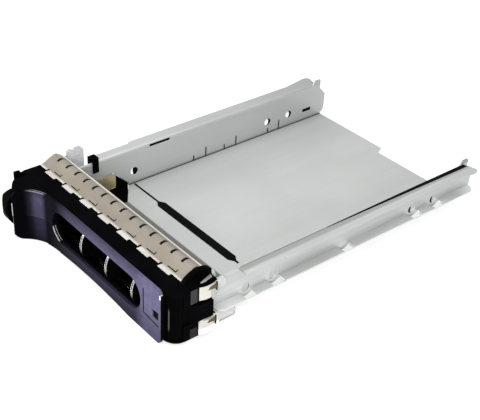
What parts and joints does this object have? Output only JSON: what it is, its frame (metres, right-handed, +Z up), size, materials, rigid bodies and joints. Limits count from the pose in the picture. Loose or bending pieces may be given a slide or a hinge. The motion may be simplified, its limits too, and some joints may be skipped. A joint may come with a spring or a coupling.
{
  "type": "hot swap drive caddy",
  "caption": "Sheet metal drive tray with side rails, a vented swing lever on a black bezel, a release button and a springy contact strip.",
  "frame": {"origin": "on the underside of the bezel, midway across the drive bay, on the line of the lever pin", "axes": "+X to the right seen from the front, +Y from the handle towards the open rear, +Z up"},
  "size_m": [0.1218, 0.199, 0.0303],
  "materials": {
    "zinc_sheet": "zinc plated, satin",
    "black_print": "matt black print",
    "black_plastic": "semi-gloss black moulded plastic",
    "purple_plastic": "semi-gloss dark purple moulded plastic",
    "spring_steel": "bright spring steel",
    "nickel_strip": "satin nickel plated spring bronze",
    "bright_clip": "bright nickel",
    "brass_spring": "bright brass",
    "clear_plastic": "clear moulded plastic",
    "smoked_lens": "smoked lens"
  },
  "bodies": {
    "caddy": {"tray_floor": "zinc_sheet", "left_rail": "zinc_sheet", "right_rail": "zinc_sheet", "left_runner": "zinc_sheet", "right_runner": "zinc_sheet", "position_stripe": "black_print", "earth_spring": "brass_spring", "bezel_frame": "black_plastic", "floor_screw_left": "spring_steel", "floor_screw_right": "spring_steel", "rivet_left": "spring_steel", "rivet_right": "spring_steel", "lever_pin": "spring_steel", "contact_strip": "nickel_strip", "clip_right_upper": "bright_clip", "clip_right_lower": "bright_clip", "clip_left_upper": "bright_clip", "clip_left_lower": "bright_clip", "guide_tongue": "clear_plastic", "light_pipe": "clear_plastic"},
    "lever": {"lever_frame": "black_plastic", "lever_face": "purple_plastic", "vent_grille": "black_plastic", "status_lens": "smoked_lens", "lever_spring": "spring_steel", "button_spring": "spring_steel"},
    "button": {"release_button": "black_plastic"}
  },
  "joints": [
    {"name": "lever_hinge", "type": "hinge", "parent": "caddy", "child": "lever", "pos_m": [0.05, 0, 0.0131], "axis": [0, 0, 1], "range_deg": [0, 60]},
    {"name": "button_slide", "type": "slide", "parent": "lever", "child": "button", "axis": [1, 0, 0], "range_m": [0, 0.002], "stiffness_N_per_m": 400, "deforming": ["button_spring"]}
  ]
}
